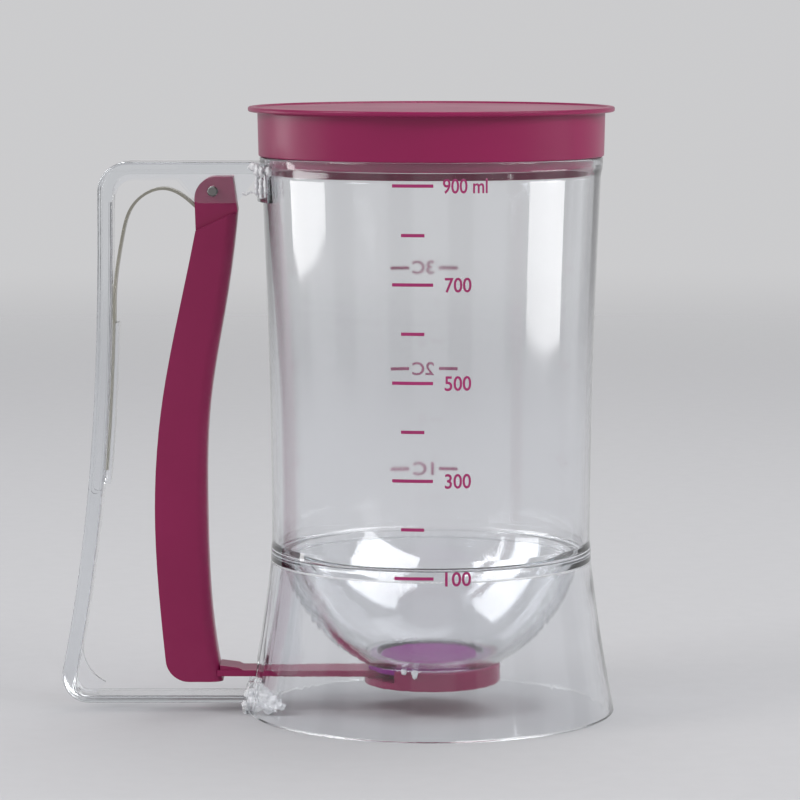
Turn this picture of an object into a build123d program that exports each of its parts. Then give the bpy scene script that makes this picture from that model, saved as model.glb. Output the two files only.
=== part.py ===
from build123d import *
import os
from math import cos, radians, sin, sqrt

# Batter dispenser: a clear jug whose bowl-shaped floor ends in an outlet, held over the pan by a skirt.
# Squeezing the lever in the handle swings a round valve down and away from the outlet, and a leaf spring
# brings it back. A push-in lid closes the top.
# Millimetres. +Z is up, Z = 0 is the plane the skirt stands on, the Z axis is the jug's own axis, and the
# handle lies in the XZ plane on the -X side.

# ---------------------------------------------------------------- jug: its tube and its bowl
rim_level = 165.9
tube_foot_radius = 47.4
tube_flare = 3.1
tube_waist = 0.7
ring_level = 45.4
ring_height = 4.8
ring_band = 0.4
jug_wall = 1.8
bowl_radius = 45.0
bowl_wall = 2.4
bowl_rim_inset = 3.8
ledge_height = 2.8
ledge_round = 1.2
outlet_level = 14.5
outlet_radius = 16.0
outlet_lip_width = 3.8
rim_round = 0.6
rim_lip = 0.3
rim_lip_height = 5.4
rim_lip_ramp = 2.6

# ---------------------------------------------------------------- skirt: the foot below the jug
skirt_flare = 7.2
skirt_waist = 0.5
skirt_wall = 2.0
foot_round = 0.6
window_bottom = 7.0
window_top = 15.8
window_round = 2.0
guide_thickness = 1.4
guide_setback = 4.8
guide_bottom = 11.4
guide_lobe_width = 6.0
guide_notch_rise = 1.6
guide_round = 2.4
weld_gap = 0.1

# ---------------------------------------------------------------- lid
lid_height = 14.6
flange_overhang = 3.1
flange_thickness = 1.5
flange_round = 0.6
drum_overhang = 0.3
drum_draft = 0.3
lid_wall = 1.8
lid_dish = 0.5
rim_bead_width = 2.4
plug_depth = 3.7
plug_clearance = 0.3
plug_wall = 1.8
seat_clearance = 0.05

# ---------------------------------------------------------------- handle frame
handle_width = 13.0
arm_drop = 1.6
top_arm_thickness = 3.6
bar_thickness = 4.4
foot_bar_level = 2.8
foot_bar_thickness = 2.2
handle_stand_off = 48.0
handle_corner = 9.0
handle_foot_corner = 8.0
bar_lean = 13.6
bar_curl = 2.7
handle_edge_round = 0.8
side_groove_depth = 1.2
side_groove_flange = 1.0
side_groove_end = 67.0
gusset_height = 14.0
gusset_reach = 6.0
gusset_rise = 3.2
gusset_sag = 1.8
gusset_thickness = 1.6
saddle_height = 11.5
saddle_thickness = 1.6
saddle_half_angle = 22.0
shoe_thickness = 1.6
shoe_height = 9.6
shoe_half_angle = 11.5
shoe_ground_clearance = 0.4
ear_thickness = 1.6
ear_drop = 8.5
ear_foot_back = 4.7
ear_foot_front = 7.2
ear_head_back = 10.4
ear_head_front = 12.4
ear_foot_round = 1.6
rail_depth = 1.7
rail_corner = 6.5

# ---------------------------------------------------------------- pivot pin and lever
pivot_stand_off = 14.0
pivot_drop = 5.0
pin_radius = 1.5
pin_hole_clearance = 0.05
pin_chamfer = 0.3
lever_side_clearance = 0.2
lever_wall = 1.6
lever_web = 1.8
lever_head_wall = 1.5
lever_head_clearance = 0.8
lever_head_back = 5.6
lever_head_front = 5.9
lever_head_round = 6.4
lever_head_front_round = 1.6
lever_foot_level = 9.2
lever_foot_corner = 7.0
lever_web_round = 3.4
lever_lip_round = 0.5
lever_front = ((0.04, 7.3), (0.10, 6.4), (0.22, 3.9), (0.43, -1.1), (0.65, -2.1), (0.87, -0.6), (1.0, 2.4))
lever_back = ((0.08, -5.1), (0.22, -9.4), (0.43, -15.3), (0.65, -17.6), (0.87, -15.9), (1.0, -14.0))
valve_arm_width = 12.0
valve_arm_thickness = 1.8
valve_arm_root_length = 6.0
valve_arm_root_rise = 1.4
valve_arm_reach = 9.0
valve_arm_end_round = 3.0
guide_clearance = 0.6

# ---------------------------------------------------------------- valve cup and its seal
seal_gap = 0.2
cup_margin = 0.4
cup_rim_relief = 0.1
cup_height = 5.6
cup_floor = 2.2
cup_wall = 1.5
cup_notch_half_angle = 57.0
cup_ledge = 1.2
cup_rail = 1.2
cup_rail_length = 24.0
cup_fit = 0.05
cup_round = 0.4
seal_side_gap = 0.15
seal_dome = 1.6
seal_dome_inset = 0.8

# ---------------------------------------------------------------- return spring
spring_thickness = 0.8
spring_width = 5.4
spring_clearance = 0.15
spring_pocket_wall = 0.9
spring_pocket_top = 116.5
spring_pocket_bottom = 68.5
spring_tail_rise = 4.0
spring_leave_level = 126.0
spring_contact = 0.1
spring_arch = ((1.3, -21.0), (2.7, -13.2), (6.2, -3.9), (15.0, 0.6))
spring_entry = (6.1, 3.9)

# ---------------------------------------------------------------- sizes that follow from those above
rim_radius = tube_foot_radius + tube_flare
lip_radius = rim_radius + rim_lip
lip_foot = rim_level - rim_lip_height
lip_shoulder = lip_foot + rim_lip_ramp
ring_radius = tube_foot_radius + ring_band
ring_top = ring_level + ring_height
ledge_level = ring_level + ledge_height
foot_radius = ring_radius + skirt_flare
outlet_lip_radius = outlet_radius + outlet_lip_width
bowl_rim_radius = ring_radius - bowl_rim_inset
bowl_bore_radius = bowl_radius - bowl_wall
tube_foot_bore = tube_foot_radius - jug_wall
guide_inner_edge = bowl_rim_radius - guide_setback
handle_reach = rim_radius + handle_stand_off
pivot_reach = rim_radius + pivot_stand_off
arm_top = rim_level - arm_drop
arm_underside = arm_top - top_arm_thickness
foot_bar_top = foot_bar_level + foot_bar_thickness
pivot_level = arm_underside - pivot_drop
handle_half_width = handle_width / 2
ear_gap_half = handle_half_width - ear_thickness
lever_head_half_width = ear_gap_half - lever_side_clearance
guide_gap_half = valve_arm_width / 2 + guide_clearance
seal_top = outlet_level - seal_gap
cup_top = seal_top - cup_rim_relief
cup_bottom = cup_top - cup_height
cup_radius = outlet_lip_radius + cup_margin
cup_bore_radius = cup_radius - cup_wall
cup_floor_top = cup_bottom + cup_floor
valve_arm_bottom = cup_floor_top + cup_fit
valve_arm_top = valve_arm_bottom + valve_arm_thickness
seal_bottom = valve_arm_top + cup_fit
pocket_face = bar_thickness + 2 * spring_clearance + spring_thickness + spring_pocket_wall


def tube_radius(level):
    """Outer radius of the tube at a level, on the slightly waisted line from the ring to the rim."""
    across = (level - ring_top) / (rim_level - ring_top)
    return tube_foot_radius + tube_flare * across - 4 * tube_waist * across * (1 - across)


def tube_arc_points(top, inset):
    """Three points of the tube's side, moved in by inset, from the ring up to a level."""
    return [(tube_radius(level) - inset, level) for level in (ring_top, (ring_top + top) / 2, top)]


def skirt_arc_points(inset):
    """Start, middle and end of the skirt's flared side, moved in by inset, from the ring to the foot."""
    middle_radius = (ring_radius + foot_radius) / 2 - skirt_waist
    return (
        (ring_radius - inset, ring_level),
        (middle_radius - inset, ring_level / 2),
        (foot_radius - inset, 0),
    )


def skirt_radius(level):
    """Outer radius of the flared skirt at a level, close enough for seating what touches it."""
    across = 1 - level / ring_level
    return ring_radius + (foot_radius - ring_radius) * across - 4 * skirt_waist * across * (1 - across)


def centre_of_bowl():
    """Centre, as radius and level, of the arc that runs from the bowl's rim to the outlet lip."""
    start = Vector(bowl_rim_radius, ring_level)
    chord = Vector(outlet_lip_radius, outlet_level) - start
    rise = sqrt(bowl_radius**2 - (chord.length / 2) ** 2)
    return start + chord / 2 + Vector(chord.Y, -chord.X).normalized() * rise


bowl_centre = centre_of_bowl()


def bowl_point(radius_of_arc, radius):
    """Point of the bowl's outer or inner arc at a distance from the jug's axis."""
    drop = sqrt(radius_of_arc**2 - (radius - bowl_centre.X) ** 2)
    return (radius, bowl_centre.Y - drop)


def bowl_bore_at(level):
    """Radius of the bowl's inner face at a level."""
    return bowl_centre.X + sqrt(bowl_bore_radius**2 - (bowl_centre.Y - level) ** 2)


def bar_edge(level, inset=0.0):
    """Point on the grip bar's outer edge at a level, moved towards the jug by inset."""
    down = (arm_top - level) / (arm_top - foot_bar_level)
    return (inset - handle_reach - bar_lean * max(down, 0.0) ** bar_curl, level)


def bar_edge_points(top, bottom, inset=0.0, count=5):
    """Evenly spaced points down the grip bar's edge."""
    return [bar_edge(top + (bottom - top) * i / (count - 1), inset) for i in range(count)]


def lever_point(entry, shift=0.0):
    """Point of the lever's outline, from its share of the way down and its distance off the plumb line."""
    down, across = entry
    return (across + shift - pivot_reach, pivot_level - down * (pivot_level - lever_foot_level))


def radial_plane(angle):
    """Plane through the jug's axis whose X direction points away from it at an angle."""
    turn = radians(angle)
    return Plane(origin=(0, 0, 0), x_dir=(cos(turn), sin(turn), 0), z_dir=(sin(turn), -cos(turn), 0))


os.makedirs("parts", exist_ok=True)

# ---------------------------------------------------------------- jug's tube
with BuildPart() as jug:
    with BuildSketch(Plane.XZ):
        with BuildLine():
            outer_side = tube_arc_points(lip_foot, 0)
            inner_side = tube_arc_points(rim_level, jug_wall)
            ThreePointArc(*outer_side)
            Polyline(outer_side[-1], (lip_radius, lip_shoulder), (lip_radius, rim_level), inner_side[-1])
            ThreePointArc(*inner_side)
            Line(inner_side[0], outer_side[0])
        make_face()
    revolve(axis=Axis.Z)
    fillet(jug.edges().filter_by(GeomType.CIRCLE).group_by(Axis.Z)[-1], rim_round)
jug.part.label = "jug"
export_step(jug.part, "parts/jug.step")

# ---------------------------------------------------------------- bowl with the ring under the tube
bore_start = (bowl_bore_at(ledge_level), ledge_level)
bore_end = bowl_point(bowl_bore_radius, outlet_radius)
bowl_middle_radius = (bowl_rim_radius + outlet_lip_radius) / 2

with BuildPart() as bowl:
    with BuildSketch(Plane.XZ):
        with BuildLine():
            ThreePointArc(
                (bowl_rim_radius, ring_level),
                bowl_point(bowl_radius, bowl_middle_radius),
                (outlet_lip_radius, outlet_level),
            )
            Polyline((outlet_lip_radius, outlet_level), (outlet_radius, outlet_level), bore_end)
            ThreePointArc(bore_end, bowl_point(bowl_bore_radius, bowl_middle_radius), bore_start)
            Polyline(
                bore_start,
                (tube_foot_bore, ledge_level),
                (tube_foot_bore, ring_top),
                (ring_radius, ring_top),
                (ring_radius, ring_level),
                (bowl_rim_radius, ring_level),
            )
        make_face()
    revolve(axis=Axis.Z)
    ledge_rings = bowl.edges().filter_by(GeomType.CIRCLE).filter_by_position(Axis.Z, ledge_level, ledge_level)
    fillet(ledge_rings.sort_by(SortBy.RADIUS)[-1], ledge_round)
bowl.part.label = "bowl"
export_step(bowl.part, "parts/bowl.step")

# ---------------------------------------------------------------- skirt with its window and lever guides
# The space that a lever guide may fill: inside the skirt's wall and outside the bowl.
with BuildPart() as guide_space:
    with BuildSketch(Plane.XZ):
        with BuildLine():
            bowl_side = bowl_radius + weld_gap
            inner_radius = guide_inner_edge - guide_lobe_width
            side = skirt_arc_points(skirt_wall / 2)
            ThreePointArc(*side)
            Polyline(side[2], (inner_radius, 0), bowl_point(bowl_side, inner_radius))
            ThreePointArc(
                bowl_point(bowl_side, inner_radius),
                bowl_point(bowl_side, (inner_radius + bowl_rim_radius) / 2),
                bowl_point(bowl_side, bowl_rim_radius),
            )
            Line(bowl_point(bowl_side, bowl_rim_radius), side[0])
        make_face()
    revolve(axis=Axis.Z)

with BuildPart() as guides:
    lobe_outer = guide_inner_edge + guide_lobe_width
    for side in (-1, 1):
        with BuildSketch(Plane.XZ.offset(side * (guide_gap_half + guide_thickness / 2))):
            with BuildLine():
                Polyline(
                    (-guide_inner_edge, ring_level - weld_gap),
                    (-guide_inner_edge, guide_bottom),
                    (-lobe_outer, guide_bottom),
                    (-lobe_outer - guide_notch_rise, guide_bottom + guide_notch_rise),
                    (-foot_radius, guide_bottom + guide_notch_rise),
                    (-foot_radius, ring_level - weld_gap),
                    close=True,
                )
            lobe = make_face()
            fillet(lobe.vertices().group_by(Axis.Y)[0], guide_round)
        extrude(amount=guide_thickness / 2, both=True)
    add(guide_space.part, mode=Mode.INTERSECT)

with BuildPart() as base_skirt:
    with BuildSketch(Plane.XZ):
        with BuildLine():
            outer_side = skirt_arc_points(0)
            inner_side = skirt_arc_points(skirt_wall)
            ThreePointArc(*outer_side)
            ThreePointArc(*inner_side)
            Line(outer_side[0], inner_side[0])
            Line(outer_side[2], inner_side[2])
        make_face()
    revolve(axis=Axis.Z)
    fillet(base_skirt.edges().filter_by(GeomType.CIRCLE).group_by(Axis.Z)[0], foot_round)
    with BuildSketch(Plane.YZ.offset(-foot_radius)):
        with Locations((0, (window_bottom + window_top) / 2)):
            window = Rectangle(2 * guide_gap_half, window_top - window_bottom)
        fillet(window.vertices().group_by(Axis.Y)[-1], window_round)
    extrude(amount=foot_radius - guide_inner_edge, mode=Mode.SUBTRACT)
    add(guides.part)
base_skirt.part.label = "base_skirt"
export_step(base_skirt.part, "parts/base_skirt.step")

# ---------------------------------------------------------------- lid
drum_foot = rim_level + seat_clearance
drum_foot_radius = lip_radius + drum_overhang
drum_top_radius = drum_foot_radius + drum_draft
lid_top = drum_foot + lid_height
flange_underside = lid_top - flange_thickness
flange_radius = drum_foot_radius + flange_overhang
ceiling = lid_top - lid_dish - lid_wall
plug_bottom = rim_level - plug_depth
plug_radius = tube_radius(plug_bottom) - jug_wall - plug_clearance
shoulder_top = drum_foot + lid_wall

with BuildPart() as lid:
    with BuildSketch(Plane.XZ):
        with BuildLine():
            Polyline(
                (0, lid_top - lid_dish),
                (flange_radius - rim_bead_width, lid_top - lid_dish),
                (flange_radius - rim_bead_width + lid_dish, lid_top),
                (flange_radius, lid_top),
                (flange_radius, flange_underside),
                (drum_top_radius, flange_underside),
                (drum_foot_radius, drum_foot),
                (plug_radius, drum_foot),
                (plug_radius, plug_bottom),
                (plug_radius - plug_wall, plug_bottom),
                (plug_radius - plug_wall, shoulder_top),
                (drum_foot_radius - lid_wall, shoulder_top),
                (drum_top_radius - lid_wall, ceiling),
                (0, ceiling),
                close=True,
            )
        make_face()
    revolve(axis=Axis.Z)
    lid_rings = lid.edges().filter_by(GeomType.CIRCLE)
    fillet([edge for edge in lid_rings if abs(edge.radius - flange_radius) < weld_gap], flange_round)
    fillet([edge for edge in lid_rings if abs(edge.radius - drum_foot_radius) < weld_gap], rim_round)
    chamfer(lid_rings.group_by(Axis.Z)[0], rim_round)
lid.part.label = "lid"
export_step(lid.part, "parts/lid.step")

# ---------------------------------------------------------------- handle frame
arm_end = lip_radius + weld_gap + saddle_thickness / 2
bar_end = skirt_radius(foot_bar_top) + weld_gap + shoe_thickness / 2
inner_head = bar_edge(arm_underside, bar_thickness)
inner_foot = bar_edge(foot_bar_top, bar_thickness)
head_corner_inner = handle_corner - top_arm_thickness
foot_corner_inner = handle_foot_corner - bar_thickness
saddle_foot = arm_top - saddle_height
ear_top = arm_underside + handle_edge_round + weld_gap
rail_level = arm_underside - rail_depth
ear_foot = arm_underside - ear_drop
pocket_half_width = spring_width / 2 + spring_clearance + spring_pocket_wall

with BuildSketch(Plane.XZ) as frame_outline:
    with BuildLine():
        Line((-arm_end, arm_top), bar_edge(arm_top))
        Spline(*bar_edge_points(arm_top, foot_bar_level))
        Polyline(
            bar_edge(foot_bar_level),
            (-bar_end, foot_bar_level),
            (-bar_end, foot_bar_top),
            inner_foot,
        )
        Spline(*bar_edge_points(foot_bar_top, arm_underside, bar_thickness))
        Polyline(inner_head, (-arm_end, arm_underside), (-arm_end, arm_top))
    make_face()
    corner_rounds = (
        (bar_edge(arm_top), handle_corner),
        (bar_edge(foot_bar_level), handle_foot_corner),
        (inner_head, head_corner_inner),
        (inner_foot, foot_corner_inner),
    )
    for corner, corner_radius in corner_rounds:
        fillet(frame_outline.vertices().sort_by_distance(Vector(*corner))[0], corner_radius)

# The shallow groove in both sides of the grip follows the outline and ends in a half round above the foot.
groove_outer = side_groove_flange
groove_inner = bar_thickness - side_groove_flange
groove_corner = bar_edge(arm_top - groove_outer, groove_outer)
groove_corner_inner = bar_edge(arm_underside + side_groove_flange, groove_inner)
groove_stop = pivot_reach + ear_head_back

with BuildSketch(Plane.XZ) as groove_outline:
    with BuildLine():
        foot_middle = bar_edge(side_groove_end - (groove_inner - groove_outer) / 2, bar_thickness / 2)
        Line((-groove_stop, arm_top - side_groove_flange), groove_corner)
        Spline(*bar_edge_points(groove_corner[1], side_groove_end, groove_outer))
        ThreePointArc(
            bar_edge(side_groove_end, groove_outer), foot_middle, bar_edge(side_groove_end, groove_inner)
        )
        Spline(*bar_edge_points(side_groove_end, groove_corner_inner[1], groove_inner))
        Polyline(
            groove_corner_inner,
            (-groove_stop, groove_corner_inner[1]),
            (-groove_stop, arm_top - side_groove_flange),
        )
    make_face()
    fillet(
        groove_outline.vertices().sort_by_distance(Vector(*groove_corner))[0],
        handle_corner - side_groove_flange,
    )
    fillet(
        groove_outline.vertices().sort_by_distance(Vector(*groove_corner_inner))[0],
        head_corner_inner + side_groove_flange,
    )

with BuildPart() as handle_frame:
    with BuildSketch(Plane.XZ):
        add(frame_outline.sketch_local)
    extrude(amount=handle_half_width, both=True)
    long_edges = handle_frame.faces().filter_by(Axis.Y).edges()
    fillet([edge for edge in long_edges if edge.center().X < -bar_end - weld_gap], handle_edge_round)
    for side in (-1, 1):
        with BuildSketch(Plane.XZ.offset(side * handle_half_width)):
            add(groove_outline.sketch_local)
        extrude(amount=-side * side_groove_depth, mode=Mode.SUBTRACT)
        with BuildSketch(Plane.XZ.offset(side * (ear_gap_half + ear_thickness / 2))):
            with BuildLine():
                rail_start = (inner_head[0] + rail_corner, rail_level)
                rail_end = bar_edge(rail_level - rail_corner, bar_thickness)
                RadiusArc(rail_start, rail_end, -rail_corner)
                Polyline(
                    rail_end,
                    bar_edge(rail_level - rail_corner, bar_thickness - head_corner_inner / 2),
                    bar_edge(ear_top, bar_thickness - handle_edge_round),
                    (-arm_end, ear_top),
                    (-pivot_reach + ear_head_front, rail_level),
                    (-pivot_reach + ear_foot_front, ear_foot),
                    (-pivot_reach - ear_foot_back, ear_foot),
                    (-pivot_reach - ear_head_back, rail_level),
                    rail_start,
                )
            ear = make_face()
            fillet(ear.vertices().group_by(Axis.Y)[0], ear_foot_round)
        extrude(amount=ear_thickness / 2, both=True)
    with BuildSketch(Plane.XZ):
        with BuildLine():
            web_head = bar_edge(foot_bar_top + gusset_height, bar_thickness)
            web_toe = (inner_foot[0] + foot_corner_inner + gusset_reach, foot_bar_top + gusset_rise)
            SagittaArc(web_head, web_toe, -gusset_sag)
            Polyline(
                web_toe,
                (web_toe[0] - gusset_rise, foot_bar_top - handle_edge_round),
                (inner_foot[0] + foot_corner_inner, foot_bar_top - handle_edge_round),
                bar_edge(foot_bar_top + foot_corner_inner, bar_thickness - handle_edge_round),
                bar_edge(foot_bar_top + gusset_height, bar_thickness - handle_edge_round),
                web_head,
            )
        make_face()
    extrude(amount=gusset_thickness / 2, both=True)
    with BuildSketch(radial_plane(180 - saddle_half_angle)):
        with BuildLine():
            saddle_inner = (
                (lip_radius + weld_gap, arm_top),
                (lip_radius + weld_gap, lip_shoulder),
                (tube_radius(lip_foot) + weld_gap, lip_foot),
                (tube_radius(saddle_foot) + weld_gap, saddle_foot),
            )
            saddle_outer = [(radius + saddle_thickness, level) for radius, level in saddle_inner]
            Polyline(*saddle_inner, *reversed(saddle_outer), close=True)
        make_face()
    revolve(axis=Axis.Z, revolution_arc=2 * saddle_half_angle)
    with BuildSketch(radial_plane(180 - shoe_half_angle)):
        with BuildLine():
            shoe_levels = (shoe_ground_clearance, shoe_height / 2, shoe_height)
            shoe_inner = [(skirt_radius(level) + weld_gap, level) for level in shoe_levels]
            shoe_outer = [(radius + shoe_thickness, level) for radius, level in shoe_inner]
            ThreePointArc(*shoe_inner)
            ThreePointArc(*shoe_outer)
            Line(shoe_inner[0], shoe_outer[0])
            Line(shoe_inner[2], shoe_outer[2])
        make_face()
    revolve(axis=Axis.Z, revolution_arc=2 * shoe_half_angle)
    with BuildSketch(Plane.YZ.offset(-bar_end - shoe_thickness)):
        with Locations((0, (window_bottom + window_top) / 2)):
            Rectangle(2 * guide_gap_half, window_top - window_bottom)
    extrude(amount=2 * shoe_thickness + skirt_wall, mode=Mode.SUBTRACT)
    with BuildSketch(Plane.XZ):
        with BuildLine():
            Spline(*bar_edge_points(spring_pocket_top, spring_pocket_bottom, bar_thickness / 2))
            Spline(*bar_edge_points(spring_pocket_top, spring_pocket_bottom, pocket_face))
            for level in (spring_pocket_top, spring_pocket_bottom):
                Line(bar_edge(level, bar_thickness / 2), bar_edge(level, pocket_face))
        make_face()
    extrude(amount=pocket_half_width, both=True)
    with BuildSketch(Plane.XZ):
        with BuildLine():
            slot_top = spring_pocket_top + spring_pocket_wall
            slot_foot = spring_pocket_bottom + spring_pocket_wall
            slot_back = bar_thickness - spring_clearance
            slot_front = pocket_face - spring_pocket_wall
            Spline(*bar_edge_points(slot_top, slot_foot, slot_back))
            Spline(*bar_edge_points(slot_top, slot_foot, slot_front))
            for level in (slot_top, slot_foot):
                Line(bar_edge(level, slot_back), bar_edge(level, slot_front))
        make_face()
    extrude(amount=spring_width / 2 + spring_clearance, both=True, mode=Mode.SUBTRACT)
    with BuildSketch(Plane.XZ):
        with Locations((-pivot_reach, pivot_level)):
            Circle(pin_radius + pin_hole_clearance)
    extrude(amount=handle_width, both=True, mode=Mode.SUBTRACT)
handle_frame.part.label = "handle_frame"
export_step(handle_frame.part, "parts/handle_frame.step")

# ---------------------------------------------------------------- pivot pin
with BuildPart() as pivot_pin:
    with BuildSketch(Plane.XZ):
        with Locations((-pivot_reach, pivot_level)):
            Circle(pin_radius)
    extrude(amount=handle_half_width, both=True)
    chamfer(pivot_pin.edges().filter_by(GeomType.CIRCLE), pin_chamfer)
pivot_pin.part.label = "pivot_pin"
export_step(pivot_pin.part, "parts/pivot_pin.step")

# ---------------------------------------------------------------- lever with its valve arm
lever_head_top = arm_underside - lever_head_clearance
lever_foot_front = lever_point(lever_front[-1])
lever_foot_back = lever_point(lever_back[-1])
shoulder_front = Vector(*lever_point(lever_front[0]))
shoulder_back = Vector(*lever_point(lever_back[0]))
channel_top_front = shoulder_front - Vector(lever_web, lever_wall)
shoulder_slope = (shoulder_front.Y - shoulder_back.Y) / (shoulder_front.X - shoulder_back.X)
channel_mouth = -handle_reach
channel_drop = shoulder_slope * (channel_top_front.X - channel_mouth)
channel_top_back = (channel_mouth, channel_top_front.Y - channel_drop)
channel_foot = lever_foot_level + lever_wall
arm_start = lever_foot_front[0] - lever_web
channel_front = [lever_point(entry, -lever_web) for entry in lever_front[1:-1]]

with BuildPart() as lever:
    with BuildSketch(Plane.XZ) as grip_outline:
        with BuildLine():
            Spline(*[lever_point(entry) for entry in lever_front])
            Spline(*[lever_point(entry) for entry in lever_back])
            Line(shoulder_front, shoulder_back)
            Line(lever_foot_front, lever_foot_back)
        make_face()
        foot_corner = grip_outline.vertices().sort_by_distance(Vector(*lever_foot_back))[0]
        fillet(foot_corner, lever_foot_corner)
    extrude(amount=handle_half_width, both=True)
    for flank in lever.faces().filter_by(Axis.Y).sort_by(Axis.Y):
        fillet(flank.edges().filter_by(GeomType.BSPLINE).sort_by(Axis.X)[-1], lever_web_round)
    with BuildSketch(Plane.XZ):
        with BuildLine():
            channel_end = (channel_front[-1][0], channel_foot)
            Spline(channel_top_front, *channel_front, channel_end)
            Polyline(
                channel_end,
                (channel_mouth, channel_foot),
                channel_top_back,
                channel_top_front,
            )
        make_face()
    extrude(amount=handle_half_width - lever_wall, both=True, mode=Mode.SUBTRACT)
    with BuildSketch(Plane.XZ):
        with BuildLine():
            head_back = (-pivot_reach - lever_head_back, lever_head_top)
            head_front = (-pivot_reach + lever_head_front, lever_head_top)
            Polyline(
                head_back,
                head_front,
                shoulder_front,
                lever_point(lever_front[1], -lever_web),
                lever_point(lever_back[0], lever_wall),
                shoulder_back,
                head_back,
            )
        head = make_face()
        fillet(head.vertices().sort_by_distance(Vector(*head_back))[0], lever_head_round)
        fillet(head.vertices().sort_by_distance(Vector(*head_front))[0], lever_head_front_round)
    extrude(amount=lever_head_half_width, both=True)
    with BuildSketch(Plane.XZ):
        with BuildLine():
            ceiling_level = lever_head_top - lever_wall
            Polyline(
                (head_front[0] - lever_web, ceiling_level),
                shoulder_front - Vector(lever_web, 0),
                lever_point(lever_front[1], -lever_web),
                (channel_mouth, channel_front[0][1]),
                (channel_mouth, ceiling_level),
                close=True,
            )
        make_face()
    extrude(amount=lever_head_half_width - lever_head_wall, both=True, mode=Mode.SUBTRACT)
    with BuildSketch(Plane.XZ):
        with Locations((-pivot_reach, pivot_level)):
            Circle(pin_radius + pin_hole_clearance)
    extrude(amount=handle_half_width, both=True, mode=Mode.SUBTRACT)
    with BuildSketch(Plane.XY.offset(valve_arm_bottom)) as arm_plan:
        with Locations(((arm_start + valve_arm_reach) / 2, 0)):
            Rectangle(valve_arm_reach - arm_start, valve_arm_width)
        fillet(arm_plan.vertices().group_by(Axis.X)[-1], valve_arm_end_round)
    extrude(amount=valve_arm_thickness)
    with BuildSketch(Plane.XZ):
        with BuildLine():
            root_back = lever_foot_front[0] - lever_web / 2
            root_toe = lever_foot_front[0] + valve_arm_root_length
            Polyline(
                (root_back, valve_arm_top),
                (root_back, valve_arm_top + valve_arm_root_rise),
                (root_toe - valve_arm_root_rise, valve_arm_top + valve_arm_root_rise / 2),
                (root_toe, valve_arm_top),
                close=True,
            )
        make_face()
    extrude(amount=valve_arm_width / 2 - lever_lip_round, both=True)
lever.part.label = "lever"
export_step(lever.part, "parts/lever.step")

# ---------------------------------------------------------------- valve cup on the arm's end
rail_half_gap = valve_arm_width / 2 + cup_fit
with BuildPart() as valve_cup:
    with BuildSketch(Plane.XZ):
        with BuildLine():
            Polyline(
                (0, cup_bottom),
                (cup_radius, cup_bottom),
                (cup_radius, cup_top),
                (cup_bore_radius, cup_top),
                (cup_bore_radius, seal_bottom),
                (cup_bore_radius - cup_ledge, seal_bottom),
                (cup_bore_radius - cup_ledge, cup_floor_top),
                (0, cup_floor_top),
                close=True,
            )
        make_face()
    revolve(axis=Axis.Z)
    rim_edges = valve_cup.edges().filter_by(GeomType.CIRCLE)
    fillet([edge for edge in rim_edges if abs(edge.radius - cup_radius) < weld_gap], cup_round)
    with BuildSketch(Plane.XY.offset(cup_floor_top)):
        with BuildLine():
            notch_turn = radians(180 - cup_notch_half_angle)
            notch_corner = (2 * cup_radius * cos(notch_turn), 2 * cup_radius * sin(notch_turn))
            Polyline((0, 0), notch_corner, (notch_corner[0], -notch_corner[1]), close=True)
        make_face()
    extrude(amount=cup_height, mode=Mode.SUBTRACT)
    with BuildSketch(Plane.XY.offset(cup_floor_top)):
        rail_end = valve_arm_reach + cup_fit + cup_rail
        with Locations((rail_end - cup_rail_length / 2, 0)):
            Rectangle(cup_rail_length, 2 * (rail_half_gap + cup_rail))
        with Locations((rail_end - cup_rail - cup_rail_length / 2, 0)):
            Rectangle(cup_rail_length, 2 * rail_half_gap, mode=Mode.SUBTRACT)
    extrude(amount=seal_bottom - cup_floor_top)
valve_cup.part.label = "valve_cup"
export_step(valve_cup.part, "parts/valve_cup.step")

# ---------------------------------------------------------------- valve seal
seal_radius = cup_bore_radius - seal_side_gap
dome_radius = outlet_radius - seal_dome_inset
with BuildPart() as valve_seal:
    with BuildSketch(Plane.XZ):
        with BuildLine():
            Polyline(
                (0, seal_top + seal_dome),
                (0, seal_bottom),
                (seal_radius, seal_bottom),
                (seal_radius, seal_top),
                (dome_radius, seal_top),
            )
            dome_curve = (dome_radius**2 + seal_dome**2) / (2 * seal_dome)
            RadiusArc((dome_radius, seal_top), (0, seal_top + seal_dome), -dome_curve)
        make_face()
    revolve(axis=Axis.Z)
    seal_rings = valve_seal.edges().filter_by(GeomType.CIRCLE)
    fillet([edge for edge in seal_rings if abs(edge.radius - seal_radius) < weld_gap], cup_round)
valve_seal.part.label = "valve_seal"
export_step(valve_seal.part, "parts/valve_seal.step")

# ---------------------------------------------------------------- return spring
leaf_inset = bar_thickness + spring_clearance + spring_thickness / 2
leaf_tail = spring_pocket_bottom + spring_tail_rise
points_along_bar = 7
with BuildPart() as return_spring:
    with BuildSketch(Plane.XZ):
        with BuildLine() as leaf_line:
            Spline(
                *bar_edge_points(leaf_tail, spring_leave_level, leaf_inset, points_along_bar),
                *[(bar_edge(arm_top, bar_thickness)[0] + x, pivot_level + z) for x, z in spring_arch],
                (-pivot_reach - spring_entry[0], pivot_level - spring_entry[1]),
                lever_point(lever_front[1], -lever_web - spring_contact - spring_thickness / 2),
            )
        trace(leaf_line.line, line_width=spring_thickness)
    extrude(amount=spring_width / 2, both=True)
return_spring.part.label = "return_spring"
export_step(return_spring.part, "parts/return_spring.step")
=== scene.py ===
"""Looks of the batter dispenser: clear jug on its skirt, squeeze handle, swinging valve and push-in lid.

Sizes are written in millimetres and every mesh is in metres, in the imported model's own frame: +Z is up,
the jug's axis is the Z axis, the handle points to -X and the millilitre scale faces -Y.
"""

import logging
import math
from dataclasses import dataclass, field
from enum import Enum

import bmesh
import bpy
from mathutils import Matrix, Quaternion, Vector, noise


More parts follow.
